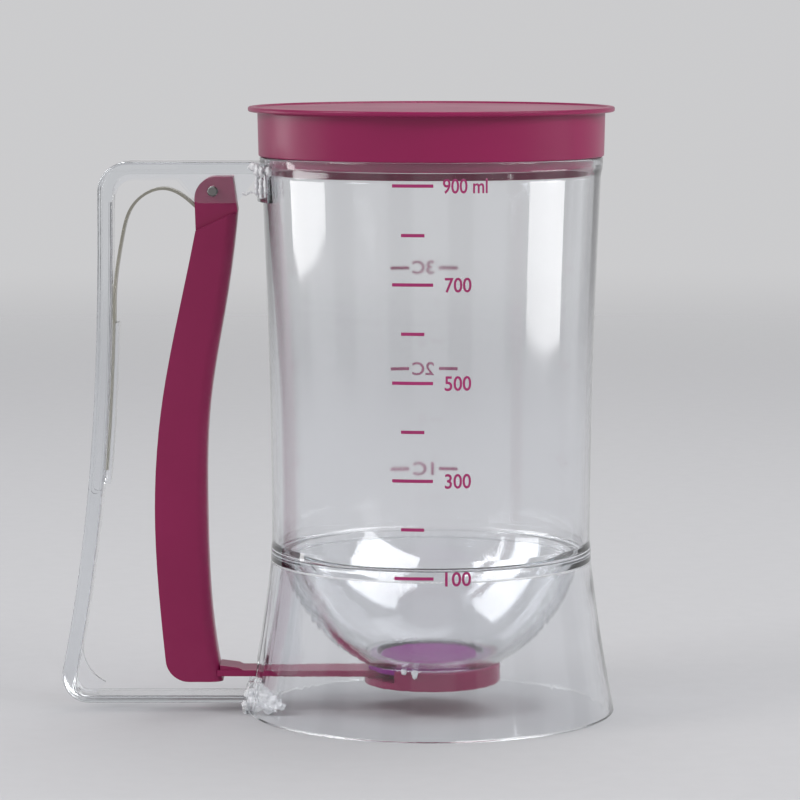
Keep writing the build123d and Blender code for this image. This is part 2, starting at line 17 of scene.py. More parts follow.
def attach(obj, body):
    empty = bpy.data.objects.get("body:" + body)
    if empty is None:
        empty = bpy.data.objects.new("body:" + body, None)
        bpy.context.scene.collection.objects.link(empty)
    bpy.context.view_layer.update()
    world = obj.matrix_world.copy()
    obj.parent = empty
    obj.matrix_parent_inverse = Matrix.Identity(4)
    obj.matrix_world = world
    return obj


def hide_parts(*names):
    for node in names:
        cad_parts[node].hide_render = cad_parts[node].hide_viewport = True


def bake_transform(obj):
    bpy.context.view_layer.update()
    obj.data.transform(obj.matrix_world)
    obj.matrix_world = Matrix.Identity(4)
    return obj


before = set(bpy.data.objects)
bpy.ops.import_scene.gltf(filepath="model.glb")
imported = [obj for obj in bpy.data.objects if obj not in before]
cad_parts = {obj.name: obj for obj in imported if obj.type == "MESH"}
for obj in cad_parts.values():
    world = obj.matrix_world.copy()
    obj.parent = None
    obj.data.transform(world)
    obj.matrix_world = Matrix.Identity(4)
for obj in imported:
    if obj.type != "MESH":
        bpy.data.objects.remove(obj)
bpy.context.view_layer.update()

logging.basicConfig(level=logging.INFO, format="%(name)s: %(message)s")
log = logging.getLogger("dispenser")

MM = 0.001
MERGE_DISTANCE = 1e-6
SHARP_DEGREES = 28.0
WATTS_PER_RADIANCE = 4.0
CARD_RADIANCE = 4.5
DISPENSER_BODY = "dispenser_body"
LEVER_BODY = "squeeze_lever"
LID_BODY = "lid_cap"

Point = tuple[float, float]
Triple = tuple[float, float, float]
Colour = tuple[float, float, float]


class Slot(Enum):
    """The record's material slots."""

    CLEAR = "clear_plastic"
    BURGUNDY = "burgundy_plastic"
    SEAL = "violet_seal"
    PIN = "steel_pin"
    SPRING = "spring_steel"


# ---------------------------------------------------------------- node trees
SOCKET_TYPES = {int: "NodeSocketInt", float: "NodeSocketFloat"}


class NodeBoard:
    """Adds nodes to a tree and joins them, so that a tree reads as a list of steps."""

    def __init__(self, tree: bpy.types.NodeTree) -> None:
        """Takes the shader or geometry tree that the nodes go into."""
        self.tree = tree

    def feed(self, socket: bpy.types.NodeSocket, value: object) -> None:
        """Joins a socket to another one, or sets its own value.

        Args:
            socket: the input to feed.
            value: another node's output, or a plain value.
        """
        if isinstance(value, bpy.types.NodeSocket):
            self.tree.links.new(value, socket)
        else:
            socket.default_value = value

    def add(self, kind: str, inputs: dict | None = None, **settings: object) -> bpy.types.Node:
        """Adds one node.

        Args:
            kind: the node's type name.
            inputs: what feeds its sockets, by name or number.
            settings: the node's own properties.

        Returns:
            The new node.
        """
        node = self.tree.nodes.new(kind)
        for name, value in settings.items():
            setattr(node, name, value)
        for key, value in (inputs or {}).items():
            self.feed(node.inputs[key], value)
        return node

    def math(self, operation: str, *values: object) -> bpy.types.NodeSocket:
        """Adds a Math node with its inputs in order, and returns its output."""
        return self.add("ShaderNodeMath", dict(enumerate(values)), operation=operation).outputs[0]

    def mix(self, factor: object, first: object, second: object) -> bpy.types.NodeSocket:
        """Adds a Mix node for two colours.

        Args:
            factor: share of the second colour.
            first: colour at factor 0.
            second: colour at factor 1.

        Returns:
            The mixed colour.
        """
        node = self.add("ShaderNodeMix", data_type="RGBA")
        for key, value in (("Factor_Float", factor), ("A_Color", first), ("B_Color", second)):
            socket = next(item for item in node.inputs if item.identifier == key)
            self.feed(socket, (*value, 1.0) if isinstance(value, tuple) and len(value) == 3 else value)
        return next(item for item in node.outputs if item.identifier == "Result_Color")

    def vector(self, x: object = 0.0, y: object = 0.0, z: object = 0.0) -> bpy.types.NodeSocket:
        """Returns the vector that three values make."""
        return self.add("ShaderNodeCombineXYZ", {0: x, 1: y, 2: z}).outputs[0]

    def parts(self, vector: object) -> list[bpy.types.NodeSocket]:
        """Returns the three parts of a vector."""
        return list(self.add("ShaderNodeSeparateXYZ", {0: vector}).outputs)

    def noise(self, place: object, scale: object, detail: float = 2.0) -> bpy.types.NodeSocket:
        """Returns the value of a noise that is read at a place."""
        return self.add("ShaderNodeTexNoise", {"Vector": place, "Scale": scale, "Detail": detail}).outputs[0]

    def ramp(
        self, value: object, ends: tuple = (0.0, 1.0), results: tuple = (0.0, 1.0), smooth: bool = False
    ) -> bpy.types.NodeSocket:
        """Maps a value from one range to another, and holds it at the ends.

        Args:
            value: the value.
            ends: the range that it is read in.
            results: what the two ends become.
            smooth: whether it eases in and out.

        Returns:
            The mapped value.
        """
        inputs = dict(zip(("Value", "From Min", "From Max", "To Min", "To Max"), (value, *ends, *results)))
        kind = "SMOOTHSTEP" if smooth else "LINEAR"
        return self.add("ShaderNodeMapRange", inputs, interpolation_type=kind).outputs[0]


def new_group(name: str, kind: str, inputs: dict[str, object], outputs: dict[str, str]) -> tuple:
    """Makes an empty node group with named sockets.

    Args:
        name: the group's name.
        kind: GeometryNodeTree or ShaderNodeTree.
        inputs: each input's starting value, or the socket type where it has none.
        outputs: each output's socket type.

    Returns:
        The tree's board, its input node and its output node.
    """
    tree = bpy.data.node_groups.new(name, kind)
    for label, value in inputs.items():
        socket_type = value if isinstance(value, str) else SOCKET_TYPES[type(value)]
        socket = tree.interface.new_socket(label, in_out="INPUT", socket_type=socket_type)
        if not isinstance(value, str):
            socket.default_value = value
    for label, socket_type in outputs.items():
        tree.interface.new_socket(label, in_out="OUTPUT", socket_type=socket_type)
    board = NodeBoard(tree)
    return board, board.add("NodeGroupInput"), board.add("NodeGroupOutput")


# ---------------------------------------------------------------- surface effects and finishes
class Effects:
    """Shader node groups for what several materials show."""

    def __init__(self) -> None:
        """Builds every group once."""
        self.grain = self._moulded_grain()
        self.convex_edges = self._convex_edge_tree()

    @staticmethod
    def _moulded_grain() -> bpy.types.NodeTree:
        """Builds the grain that moulding leaves.

        Returns:
            Group with a fine height, a slow flow height and a patchy mask.
        """
        inputs = {"Fine Scale": 900.0, "Flow Scale": 60.0, "Flow Stretch": 0.3, "Flow Detail": 1.0}
        inputs.update({"Patch Scale": 25.0, "Patch Low": 0.35, "Patch High": 0.65})
        outputs = dict.fromkeys(("Fine", "Flow", "Patch"), "NodeSocketFloat")
        board, given, result = new_group("moulded_grain", "ShaderNodeTree", inputs, outputs)
        place = board.add("ShaderNodeTexCoord").outputs["Object"]
        stretch = board.vector(1.0, 1.0, given.outputs["Flow Stretch"])
        drawn = board.add("ShaderNodeVectorMath", {0: place, 1: stretch}, operation="MULTIPLY").outputs[0]
        flow = board.noise(drawn, given.outputs["Flow Scale"], given.outputs["Flow Detail"])
        patch = board.noise(place, given.outputs["Patch Scale"])
        board.feed(result.inputs["Fine"], board.noise(place, given.outputs["Fine Scale"]))
        board.feed(result.inputs["Flow"], flow)
        soft = board.ramp(patch, (given.outputs["Patch Low"], given.outputs["Patch High"]))
        board.feed(result.inputs["Patch"], soft)
        return board.tree

    @staticmethod
    def _convex_edge_tree() -> bpy.types.NodeTree:
        """Builds the mask for painting convex edges a little lighter.

        Returns:
            Group with a mask that is 1 on convex edges, broken up by noise.
        """
        inputs = {"Start": 0.52, "Full": 0.60, "Breakup Scale": 300.0}
        outputs = {"Mask": "NodeSocketFloat"}
        board, given, result = new_group("rubbed_edges", "ShaderNodeTree", inputs, outputs)
        sharpness = board.add("ShaderNodeNewGeometry").outputs["Pointiness"]
        edge = board.ramp(sharpness, (given.outputs["Start"], given.outputs["Full"]))
        place = board.add("ShaderNodeTexCoord").outputs["Object"]
        breakup = board.noise(place, given.outputs["Breakup Scale"])
        board.feed(result.inputs["Mask"], board.math("MULTIPLY", edge, breakup))
        return board.tree

    def roughen(
        self,
        board: NodeBoard,
        shader: bpy.types.Node,
        roughness: Point,
        height: float,
        masks: tuple[str, str],
    ) -> bpy.types.NodeSocket:
        """Gives a shader the moulded grain as an uneven roughness and a slight relief.

        Args:
            board: the material's board.
            shader: its Principled shader.
            roughness: the lowest and the highest roughness.
            height: the relief's height in metres.
            masks: which of the grain's outputs drive the roughness and the relief.

        Returns:
            The grain's patchy mask.
        """
        grain = board.add("ShaderNodeGroup", node_tree=self.grain).outputs
        board.feed(shader.inputs["Roughness"], board.ramp(grain[masks[0]], results=roughness))
        bump = board.add("ShaderNodeBump", {"Height": grain[masks[1]], "Distance": height})
        board.feed(shader.inputs["Normal"], bump.outputs[0])
        return grain["Patch"]


def new_material(name: str, **values: float) -> tuple[bpy.types.Material, NodeBoard, bpy.types.Node]:
    """Makes a node material.

    Args:
        name: the material's name.
        values: the shader's even values, by the socket's name with low lines for its spaces.

    Returns:
        The material, its board and its Principled shader.
    """
    material = bpy.data.materials.new(name)
    material.use_nodes = True
    shader = material.node_tree.nodes["Principled BSDF"]
    for label, value in values.items():
        shader.inputs[label.replace("_", " ")].default_value = value
    return material, NodeBoard(material.node_tree), shader


@dataclass(frozen=True)
class ClearPlastic:
    """Clear moulded plastic, slightly cool where it is thick."""

    name: str = "clear_plastic"
    tint: Colour = (0.985, 0.99, 1.0)
    roughness: Point = (0.02, 0.07)
    index: float = 1.56
    depth_tint: Colour = (0.72, 0.76, 0.79)
    depth_density: float = 38.0
    flow_height: float = 0.00003
    lamp_tint: Colour = (0.93, 0.935, 0.94)

    def build(self, effects: Effects) -> bpy.types.Material:
        """Makes the material.

        Args:
            effects: the shared node groups.

        Returns:
            The material.
        """
        material, board, shader = new_material(self.name, Transmission_Weight=1.0, IOR=self.index)
        shader.inputs["Base Color"].default_value = (*self.tint, 1.0)
        effects.roughen(board, shader, self.roughness, self.flow_height, ("Patch", "Flow"))
        absorbed = {"Color": (*self.depth_tint, 1.0), "Density": self.depth_density}
        output = material.node_tree.nodes["Material Output"]
        board.feed(output.inputs["Volume"], board.add("ShaderNodeVolumeAbsorption", absorbed).outputs[0])
        ray = board.add("ShaderNodeLightPath").outputs
        passing = board.math("MAXIMUM", ray["Is Shadow Ray"], ray["Is Diffuse Ray"])
        straight = board.add("ShaderNodeBsdfTransparent", {"Color": (*self.lamp_tint, 1.0)})
        surface = board.add("ShaderNodeMixShader", {0: passing, 1: shader.outputs[0], 2: straight.outputs[0]})
        board.feed(output.inputs["Surface"], surface.outputs[0])
        return material


@dataclass(frozen=True)
class MouldedPlastic:
    """Opaque moulded plastic with a satin gloss, painted a little lighter on its convex edges."""

    name: str
    colour: Colour
    shade: Colour
    roughness: Point = (0.30, 0.36)
    grain_height: float = 0.000006
    edge_share: float = 0.25
    specular: float = 0.5
    index: float = 1.5
    edge_gain: float = 1.25
    edge_offset: float = 0.02

    def build(self, effects: Effects) -> bpy.types.Material:
        """Makes the material.

        Args:
            effects: the shared node groups.

        Returns:
            The material.
        """
        material, board, shader = new_material(self.name, IOR=self.index, Specular_IOR_Level=self.specular)
        patch = effects.roughen(board, shader, self.roughness, self.grain_height, ("Patch", "Fine"))
        # Convex edges are painted a little lighter, broken up by noise.
        convex_edges = board.add("ShaderNodeGroup", node_tree=effects.convex_edges).outputs["Mask"]
        edge_tone = tuple(min(1.0, part * self.edge_gain + self.edge_offset) for part in self.colour)
        body = board.mix(patch, self.colour, self.shade)
        edge = board.math("MULTIPLY", convex_edges, self.edge_share)
        board.feed(shader.inputs["Base Color"], board.mix(edge, body, edge_tone))
        return material


@dataclass(frozen=True)
class GrainySurface:
    """A finish of one colour that dims in patches: bare steel, or plastic that welding has made cloudy."""

    name: str
    colour: Colour
    dimming: float
    roughness: Point
    grain_height: float
    metallic: float = 0.0
    clearness: float = 0.0
    index: float = 1.5

    def build(self, effects: Effects) -> bpy.types.Material:
        """Makes the material.

        Args:
            effects: the shared node groups.

        Returns:
            The material.
        """
        material, board, shader = new_material(
            self.name, Metallic=self.metallic, Transmission_Weight=self.clearness, IOR=self.index
        )
        patch = effects.roughen(board, shader, self.roughness, self.grain_height, ("Fine", "Fine"))
        dim = tuple(part * self.dimming for part in self.colour)
        board.feed(shader.inputs["Base Color"], board.mix(patch, self.colour, dim))
        return material


class Paints:
    """Every finish of the dispenser, built once."""

    def __init__(self) -> None:
        """Builds the materials."""
        burgundy = MouldedPlastic(
            "burgundy_plastic", (0.245, 0.006, 0.070), (0.225, 0.005, 0.063), specular=0.35
        )
        ink = MouldedPlastic("scale_ink", (0.36, 0.012, 0.13), (0.32, 0.010, 0.11), (0.4, 0.55))
        seal = MouldedPlastic(
            "violet_seal", (0.25, 0.012, 0.23), (0.21, 0.010, 0.19), (0.6, 0.75), 0.00001, 0.1, specular=0.12
        )
        pin = GrainySurface("steel_pin", (0.25, 0.245, 0.24), 0.82, (0.34, 0.5), 0.000004, metallic=1.0)
        spring = GrainySurface("spring_steel", (0.40, 0.385, 0.33), 0.82, (0.26, 0.4), 0.000004, metallic=1.0)
        weld = GrainySurface("weld_plastic", (0.93, 0.93, 0.95), 0.86, (0.12, 0.44), 0.0001, clearness=0.12)
        finishes = (ClearPlastic(), burgundy, seal, ink, pin, spring, weld)
        effects = Effects()
        built = [finish.build(effects) for finish in finishes]
        self.clear, self.burgundy, self.seal, self.ink, self.pin, self.spring, self.weld = built


# ---------------------------------------------------------------- meshes
def link(piece: bpy.types.Object) -> bpy.types.Object:
    """Puts a new object into the scene and returns it."""
    bpy.context.scene.collection.objects.link(piece)
    return piece


def piece_from(name: str, vertices: list, faces: list, edges: list | None = None) -> bpy.types.Object:
    """Makes an object of plain vertices and faces.

    Args:
        name: the piece's name.
        vertices: points in metres.
        faces: vertex numbers of each face.
        edges: vertex numbers of each loose edge.

    Returns:
        The object, in the scene.
    """
    mesh = bpy.data.meshes.new(name)
    mesh.from_pydata([tuple(point) for point in vertices], edges or [], faces)
    return link(bpy.data.objects.new(name, mesh))


def bake_modifiers(piece: bpy.types.Object) -> bpy.types.Object:
    """Turns what the modifiers make into the piece's own mesh.

    Args:
        piece: an object with modifiers.

    Returns:
        The same object with a plain mesh and no modifier.
    """
    graph = bpy.context.evaluated_depsgraph_get()
    graph.update()
    mesh = bpy.data.meshes.new_from_object(piece.evaluated_get(graph), depsgraph=graph)
    piece.modifiers.clear()
    before = piece.data
    piece.data = mesh
    bpy.data.meshes.remove(before)
    mesh.name = piece.name
    return piece


def tidy_mesh(piece: bpy.types.Object) -> bpy.types.Object:
    """Merges doubles, turns faces outwards and shades smooth between sharp edges, with flats kept flat.

    Args:
        piece: a mesh object.

    Returns:
        The same object.
    """
    mesh = piece.data
    work = bmesh.new()
    work.from_mesh(mesh)
    bmesh.ops.remove_doubles(work, verts=work.verts, dist=MERGE_DISTANCE)
    bmesh.ops.dissolve_degenerate(work, edges=work.edges, dist=MERGE_DISTANCE)
    bmesh.ops.recalc_face_normals(work, faces=work.faces)
    work.to_mesh(mesh)
    work.free()
    mesh.shade_smooth()
    mesh.set_sharp_from_angle(angle=math.radians(SHARP_DEGREES))
    piece.modifiers.new("even_shading", "WEIGHTED_NORMAL").keep_sharp = True
    return piece


def paint(piece: bpy.types.Object, material: bpy.types.Material) -> None:
    """Gives a piece one finish.

    Args:
        piece: the object.
        material: its only material.
    """
    piece.data.materials.clear()
    piece.data.materials.append(material)


def moulded_copy(node: str, name: str) -> bpy.types.Object:
    """Copies a CAD node's shape into one connected, smoothly shaded mesh.

    Args:
        node: the CAD node.
        name: the new piece's name.

    Returns:
        The new piece.
    """
    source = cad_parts[node].data
    vertices = [vertex.co.copy() for vertex in source.vertices]
    faces = [tuple(polygon.vertices) for polygon in source.polygons]
    return tidy_mesh(piece_from(name, vertices, faces))


# ---------------------------------------------------------------- outlines of turned pieces
@dataclass
class Outline:
    """A turned piece's outline: points as radius and level, in millimetres."""

    points: list[Triple] = field(default_factory=list)

    def corners(self, *corners: tuple) -> "Outline":
        """Adds corners, each as radius, level and, where it is rounded, rounding, and returns the outline."""
        self.points += [(*corner, 0.0)[:3] for corner in corners]
        return self

    def arc(self, steps: int, centre: Point, size: float, start: float, end: float) -> "Outline":
        """Adds points on an arc.

        Args:
            steps: how many pieces it is divided in.
            centre: the arc's centre.
            size: the arc's radius.
            start: angle of its first point, in degrees.
            end: angle of its last point.

        Returns:
            The outline itself.
        """
        for i in range(steps + 1):
            turn = math.radians(start + (end - start) * i / steps)
            self.points.append((centre[0] + size * math.cos(turn), centre[1] + size * math.sin(turn), 0.0))
        return self

    def rounded(self, closed: bool, steps: int = 5) -> list[Vector]:
        """Replaces each rounded corner with an arc.

        Args:
            closed: whether the outline is a loop, or starts and ends on the axis.
            steps: how many pieces each arc is divided in.

        Returns:
            Points in metres, as radius, 0, level.
        """
        result = []
        count = len(self.points)
        for i, (radius, level, rounding) in enumerate(self.points):
            here = Vector((radius, level))
            if rounding == 0.0 or (not closed and i in (0, count - 1)):
                result.append(here)
                continue
            to_last = (Vector(self.points[i - 1][:2]) - here).normalized()
            to_next = (Vector(self.points[(i + 1) % count][:2]) - here).normalized()
            half = to_last.angle(to_next) / 2
            reach = rounding / math.tan(half)
            middle = here + (to_last + to_next).normalized() * rounding / math.sin(half)
            first = here + to_last * reach - middle
            sweep = first.angle_signed(here + to_next * reach - middle)
            for step in range(steps + 1):
                result.append(middle + Matrix.Rotation(-sweep * step / steps, 2) @ first)
        return [Vector((point.x * MM, 0.0, point.y * MM)) for point in result]


def finished_tree(
    board: NodeBoard, given: bpy.types.Node, result: bpy.types.Node, shape: bpy.types.NodeSocket
) -> bpy.types.NodeTree:
    """Ends a geometry node tree with real geometry in the finish that it is given.

    Args:
        board: the tree's board.
        given: its input node.
        result: its output node.
        shape: what the tree has made.

    Returns:
        The tree.
    """
    real = board.add("GeometryNodeRealizeInstances", {0: shape}).outputs[0]
    finish = {"Geometry": real, "Material": given.outputs["Finish"]}
    board.feed(result.inputs[0], board.add("GeometryNodeSetMaterial", finish).outputs[0])
    return board.tree


class Lathe:
    """Turns outlines about the jug's axis with one geometry node tree."""

    def __init__(self) -> None:
        """Builds the tree."""
        inputs = {"Outline": "NodeSocketGeometry", "Segments": 96, "Finish": "NodeSocketMaterial"}
        outputs = {"Piece": "NodeSocketGeometry"}
        board, given, result = new_group("turned_piece", "GeometryNodeTree", inputs, outputs)
        outline, segments = given.outputs["Outline"], given.outputs["Segments"]
        size = board.add("GeometryNodeAttributeDomainSize", {0: outline}, component="MESH")
        rows = size.outputs["Point Count"]
        columns = board.math("ADD", segments, 1)
        grid = board.add("GeometryNodeMeshGrid", {"Vertices X": columns, "Vertices Y": rows})
        index = board.add("GeometryNodeInputIndex").outputs[0]
        sample = board.add("GeometryNodeSampleIndex", data_type="FLOAT_VECTOR", domain="POINT")
        board.feed(sample.inputs["Geometry"], outline)
        position = board.add("GeometryNodeInputPosition").outputs[0]
        board.feed(self._socket(sample.inputs, "Value", "VECTOR"), position)
        board.feed(sample.inputs["Index"], board.math("MODULO", index, rows))
        reach, _, level = board.parts(self._socket(sample.outputs, "Value", "VECTOR"))
        column = board.math("FLOOR", board.math("DIVIDE", index, rows))
        turn = board.math("MULTIPLY", board.math("DIVIDE", column, segments), math.tau)
        across = board.math("MULTIPLY", reach, board.math("COSINE", turn))
        along = board.math("MULTIPLY", reach, board.math("SINE", turn))
        place = board.vector(across, along, level)
        placed = board.add("GeometryNodeSetPosition", {"Geometry": grid.outputs["Mesh"], "Position": place})
        merged = board.add(
            "GeometryNodeMergeByDistance", {"Geometry": placed.outputs[0], "Distance": MERGE_DISTANCE}
        )
        self.tree = finished_tree(board, given, result, merged.outputs[0])

    @staticmethod
    def _socket(sockets: object, name: str, kind: str) -> bpy.types.NodeSocket:
        """Returns the enabled socket of a name and type."""
        return next(item for item in sockets if item.name == name and item.type == kind and item.enabled)

    def turn(
        self, name: str, outline: Outline, closed: bool, finish: bpy.types.Material, segments: int
    ) -> bpy.types.Object:
        """Turns an outline into a closed piece.

        Args:
            name: the piece's name.
            outline: its outline.
            closed: whether the outline is a loop, or starts and ends on the axis.
            finish: its material.
            segments: divisions round the axis.

        Returns:
            The piece, as a plain mesh.
        """
        points = outline.rounded(closed)
        if closed:
            points.append(points[0])
        edges = [(i, i + 1) for i in range(len(points) - 1)]
        piece = piece_from(name, points, [], edges)
        run_tree(piece, self.tree, {"Segments": segments, "Finish": finish})
        return tidy_mesh(piece)


def run_tree(piece: bpy.types.Object, tree: bpy.types.NodeTree, values: dict[str, object]) -> None:
    """Runs a geometry node tree on a piece and keeps the result as its mesh.

    Args:
        piece: the object that the tree starts from.
        tree: the geometry node tree.
        values: the tree's inputs by name.
    """
    modifier = piece.modifiers.new(tree.name, "NODES")
    modifier.node_group = tree
    for item in tree.interface.items_tree:
        if item.item_type == "SOCKET" and item.in_out == "INPUT" and item.name in values:
            modifier[item.identifier] = values[item.name]
    bake_modifiers(piece)


# ---------------------------------------------------------------- clear body
@dataclass
class ClearBody:
    """The clear jug and the skirt that it stands on."""

    paints: Paints
    lathe: Lathe
    rim_level: float = 165.9
    foot_level: float = 50.2
    foot_radius: float = 47.4
    flare: float = 3.1
    waist: float = 0.7
    lip: float = 0.3
    lip_foot: float = 160.5
    lip_shoulder: float = 163.1
    wall: float = 1.8
    ring_level: float = 45.4
    ring_radius: float = 47.8
    ring_slope: float = 1.2
    bowl_radius: float = 45.0
    bowl_wall: float = 2.4
    bowl_rim_radius: float = 44.0
    ledge_level: float = 48.2
    outlet_level: float = 14.5
    outlet_radius: float = 16.0
    outlet_lip_radius: float = 19.8
    outlet_floor_radius: float = 20.0
    seat_gap: float = 0.05
    seam_inner_radius: float = 45.9
    seam_outer_radius: float = 47.65
    seam_half_height: float = 0.2
    seam_rounding: float = 0.08
    outlet_step: float = 0.6
    outlet_rounding: float = 0.25
    outlet_lip_rounding: float = 0.35
    outlet_floor_rounding: float = 0.45
    ring_foot_rounding: float = 0.3
    ring_rounding: float = 1.2
    lip_foot_rounding: float = 8.0
    lip_rounding: float = 5.0
    rim_rounding: float = 0.6
    tube_steps: int = 16
    tube_first_step: int = 2
    bowl_steps: int = 28
    bore_steps: int = 30
    segments: int = 160

    def tube_radius(self, level: float) -> float:
        """Returns the tube's outer radius at a level, on its slightly waisted line."""
        across = (level - self.foot_level) / (self.rim_level - self.foot_level)
        return self.foot_radius + self.flare * across - 4 * self.waist * across * (1 - across)

    def _bowl_centre(self) -> Vector:
        """Finds the centre of the bowl's arc.

        Returns:
            The centre, as radius and level.
        """
        start = Vector((self.bowl_rim_radius, self.ring_level))
        chord = Vector((self.outlet_lip_radius, self.outlet_level)) - start
        rise = math.sqrt(self.bowl_radius**2 - (chord.length / 2) ** 2)
        return start + chord / 2 + Vector((chord.y, -chord.x)).normalized() * rise

    def _bowl_arc(self, size: float, start: Point, end: Point) -> tuple:
        """Describes a stretch of the bowl's wall.

        Args:
            size: the arc's radius.
            start: radius and level of its first point.
            end: radius and level of its last point.

        Returns:
            Centre, size and the two angles, as Outline.arc takes them.
        """
        centre = self._bowl_centre()
        rays = [Vector(point) - centre for point in (start, end)]
        first, last = (math.degrees(math.atan2(ray.y, ray.x)) for ray in rays)
        return tuple(centre), size, first, last

    def _jug(self) -> Outline:
        """Draws the tube, the bowl with its ring, and the outlet.

        Returns:
            Their outline, as one loop.
        """
        bore_size = self.bowl_radius - self.bowl_wall
        centre = self._bowl_centre()
        bore_top = centre.x + math.sqrt(bore_size**2 - (centre.y - self.ledge_level) ** 2)
        bore_end = centre.y - math.sqrt(bore_size**2 - (self.outlet_floor_radius - centre.x) ** 2)
        rim_radius = self.foot_radius + self.flare
        step = (self.lip_foot - self.foot_level) / self.tube_steps
        levels = [self.foot_level + step * i for i in range(self.tube_first_step, self.tube_steps)]
        underside = self.ring_level + self.seat_gap
        ring_top = self.foot_level + self.ring_slope
        lip_start = (self.outlet_lip_radius, self.outlet_level + self.outlet_step)
        outer = self._bowl_arc(self.bowl_radius, lip_start, (self.bowl_rim_radius, underside))
        floor_end = (self.outlet_floor_radius, bore_end)
        inner = self._bowl_arc(bore_size, (bore_top, self.ledge_level), floor_end)
        outline = Outline()
        outline.corners(
            (self.outlet_radius, self.outlet_level, self.outlet_rounding),
            (self.outlet_lip_radius, self.outlet_level, self.outlet_lip_rounding),
        ).arc(self.bowl_steps, *outer)
        outline.corners(
            (self.ring_radius, underside, self.ring_foot_rounding),
            (self.ring_radius, self.foot_level - self.ring_slope, self.ring_rounding),
            (self.tube_radius(ring_top), ring_top, self.ring_rounding),
            *((self.tube_radius(level), level) for level in levels),
            (self.tube_radius(self.lip_foot), self.lip_foot, self.lip_foot_rounding),
            (rim_radius + self.lip, self.lip_shoulder, self.lip_rounding),
            (rim_radius + self.lip, self.rim_level, self.rim_rounding),
            (rim_radius - self.wall, self.rim_level, self.rim_rounding),
            *((self.tube_radius(level) - self.wall, level) for level in reversed(levels)),
            (self.foot_radius - self.wall, self.ledge_level, self.ring_rounding),
        ).arc(self.bore_steps, *inner)
        return outline.corners((self.outlet_radius, bore_end, self.outlet_floor_rounding))

    def _seam_and_highlight(self) -> Outline:
        """Draws the welded seam under the ring, whose cloudy white is partly a painted highlight on the
        ring's dark ends.

        Returns:
            Its outline.
        """
        low, high = (self.ring_level + self.seat_gap + side * self.seam_half_height for side in (-1, 1))
        inner, outer = self.seam_inner_radius, self.seam_outer_radius
        places = ((inner, low), (outer, low), (outer, high), (inner, high))
        return Outline().corners(*((*place, self.seam_rounding) for place in places))

    def build(self) -> list[bpy.types.Object]:
        """Builds the jug as one turned piece, the skirt with its window, and the seam that joins them, whose
        cloudy white is partly a painted highlight on the ring's ends.

        Returns:
            The pieces.
        """
        jug = self.lathe.turn("jug_shell", self._jug(), True, self.paints.clear, self.segments)
        paint(jug, self.paints.clear)
        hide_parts("jug", "bowl")
        skirt = moulded_copy("base_skirt", "skirt_shell")
        paint(skirt, self.paints.clear)
        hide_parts("base_skirt")
        # The seam is partly the weld between jug and skirt and partly a painted highlight: its cloudy white
        # brightens the ring's dark ends.
        seam = self.lathe.turn("ring_seam", self._seam_and_highlight(), True, self.paints.weld, self.segments)
        paint(seam, self.paints.weld)
        for piece in (jug, skirt, seam):
            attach(piece, DISPENSER_BODY)
        return [jug, skirt, seam]


@dataclass
class Handle:
    """The clear handle frame with its pin and its leaf spring."""

    paints: Paints
    spring_start: Triple = (-93.5, 0.0, 124.0)
    spring_end: Triple = (-62.0, 0.0, 143.0)

    def build(self) -> list[bpy.types.Object]:
        """Builds the handle's pieces.

        Returns:
            The pieces.
        """
        shell = moulded_copy("handle_frame", "handle_shell")
        paint(shell, self.paints.clear)
        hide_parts("handle_frame")
        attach(shell, DISPENSER_BODY)
        pin = moulded_copy("pivot_pin", "pin_shank")
        paint(pin, self.paints.pin)
        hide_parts("pivot_pin")
        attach(pin, DISPENSER_BODY)
        leaf = moulded_copy("return_spring", "leaf_spring")
        paint(leaf, self.paints.spring)
        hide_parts("return_spring")
        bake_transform(leaf)
        return [shell, pin, leaf]


@dataclass
class Lever:
    """The squeeze lever with its valve cup and seal."""

    paints: Paints
    lathe: Lathe
    seal_radius: float = 18.55
    seal_bottom: float = 12.7
    seal_top: float = 14.3
    crown_radius: float = 15.5
    crown_top_radius: float = 14.4
    crown_rise: float = 2.4
    crown_swell: float = 0.35
    ring_radius: float = 6.0
    ring_width: float = 0.8
    ring_depth: float = 0.18
    ring_share: float = 0.85
    ring_rounding: float = 0.6
    crown_rounding: float = 1.1
    disc_rounding: float = 0.4
    disc_foot_rounding: float = 0.3
    segments: int = 128

    def _seal(self) -> bpy.types.Object:
        """Builds the soft seal: a disc with a plug-like crown that fills the outlet.

        Returns:
            The piece.
        """
        crown = self.seal_top + self.crown_rise
        ring_level = crown + self.crown_swell * self.ring_share
        outline = Outline().corners(
            (0.0, crown + self.crown_swell),
            (self.ring_radius, ring_level, self.ring_rounding),
            (self.ring_radius + self.ring_width, ring_level - self.ring_depth, self.ring_rounding),
            (self.crown_top_radius, crown, self.crown_rounding),
            (self.crown_radius, self.seal_top, self.disc_rounding),
            (self.seal_radius, self.seal_top, self.disc_rounding),
            (self.seal_radius, self.seal_bottom, self.disc_foot_rounding),
            (0.0, self.seal_bottom),
        )
        return self.lathe.turn("seal_disc", outline, False, self.paints.seal, self.segments)

    def build(self) -> list[bpy.types.Object]:
        """Builds the lever's pieces.

        Returns:
            The pieces.
        """
        grip = moulded_copy("lever", "lever_shell")
        paint(grip, self.paints.burgundy)
        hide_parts("lever")
        cup = moulded_copy("valve_cup", "valve_cup_shell")
        paint(cup, self.paints.burgundy)
        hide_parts("valve_cup")
        seal = self._seal()
        paint(seal, self.paints.seal)
        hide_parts("valve_seal")
        for piece in (grip, cup, seal):
            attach(piece, LEVER_BODY)
        return [grip, cup, seal]


